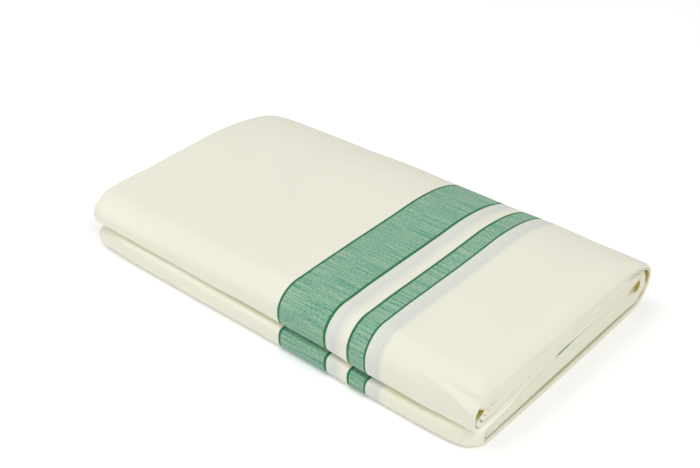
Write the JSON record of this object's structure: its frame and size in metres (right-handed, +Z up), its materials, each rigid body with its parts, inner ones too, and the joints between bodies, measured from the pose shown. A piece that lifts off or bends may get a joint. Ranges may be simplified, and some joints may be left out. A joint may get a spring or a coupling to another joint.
{
  "type": "folded dhoti cloth",
  "caption": "Cotton dhoti cloth with a green striped border, folded flat and then in half, with two round folds at the front and one at the back.",
  "frame": {"origin": "middle of the flat underside, at the height of the surface it rests on", "axes": "+X along the packet's long side, from the closed end to the end that shows its layers; +Y from the front folds to the back fold; +Z up"},
  "size_m": [0.3174, 0.1928, 0.0464],
  "materials": {
    "striped_cotton": "matte plain-weave cotton, undyed, with woven green and pale grey border stripes",
    "plain_cotton": "matte plain-weave cotton, undyed, layered edges"
  },
  "bodies": {
    "root": {"outer_strip": "striped_cotton", "hidden_layers": "plain_cotton"}
  },
  "joints": []
}
